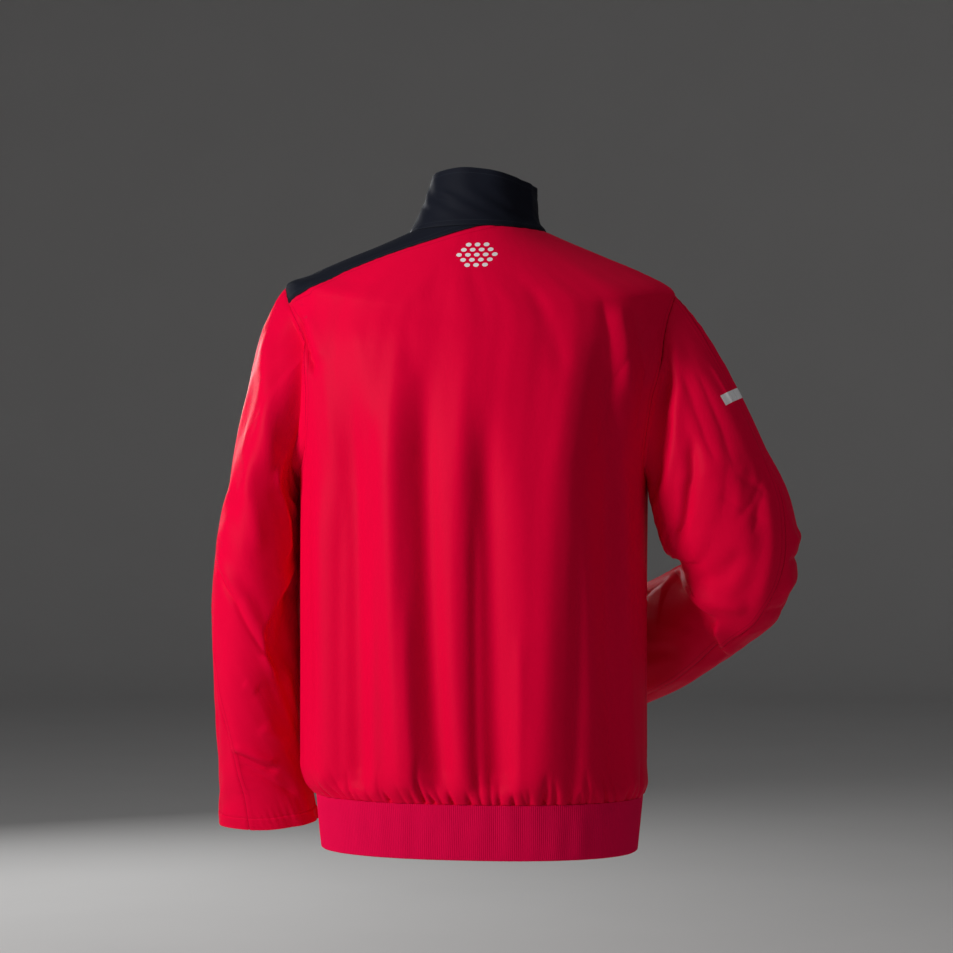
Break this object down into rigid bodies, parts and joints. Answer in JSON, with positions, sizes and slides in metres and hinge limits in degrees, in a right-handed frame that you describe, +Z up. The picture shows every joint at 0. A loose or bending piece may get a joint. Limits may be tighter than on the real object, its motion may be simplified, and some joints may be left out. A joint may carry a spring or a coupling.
{
  "type": "windbreaker",
  "caption": "Worn, hollow zip-front windbreaker with a stand collar, a contrasting shoulder yoke, long sleeves and a gathered ribbed waistband.",
  "frame": {"origin": "middle of the neck opening, level with the collar seam at its sides, where the wearer's neck and shoulders hold the garment", "axes": "+Z up, the garment's front faces -Y, the wearer's left is +X"},
  "size_m": [0.671, 0.3591, 0.7619],
  "materials": {
    "woven_red": "smooth woven polyester with a slight satin sheen",
    "woven_navy": "smooth woven polyester, dark navy",
    "rib_red": "matte ribbed knit",
    "zip_cloth": "matte woven tape",
    "zip_nylon": "moulded nylon",
    "zip_metal": "satin gunmetal"
  },
  "bodies": {
    "garment": {"back": "woven_red", "front_left": "woven_red", "front_right": "woven_red", "yoke_left": "woven_navy", "collar": "woven_navy", "hem_band": "rib_red", "sleeve_left_back": "woven_red", "sleeve_left_front": "woven_red", "sleeve_right_back": "woven_red", "sleeve_right_front": "woven_red", "zip_tape_left": "zip_cloth", "zip_tape_right": "zip_cloth", "zip_chain": "zip_nylon", "zip_slider": "zip_metal", "zip_box": "zip_metal"},
    "pull_tab": {"zip_pull": "zip_metal"}
  },
  "joints": [
    {"name": "pull_tab_swing", "type": "hinge", "parent": "garment", "child": "pull_tab", "pos_m": [0.00212, -0.07556, 0.001], "axis": [-1, 0, 0], "range_deg": [0, 160]}
  ]
}
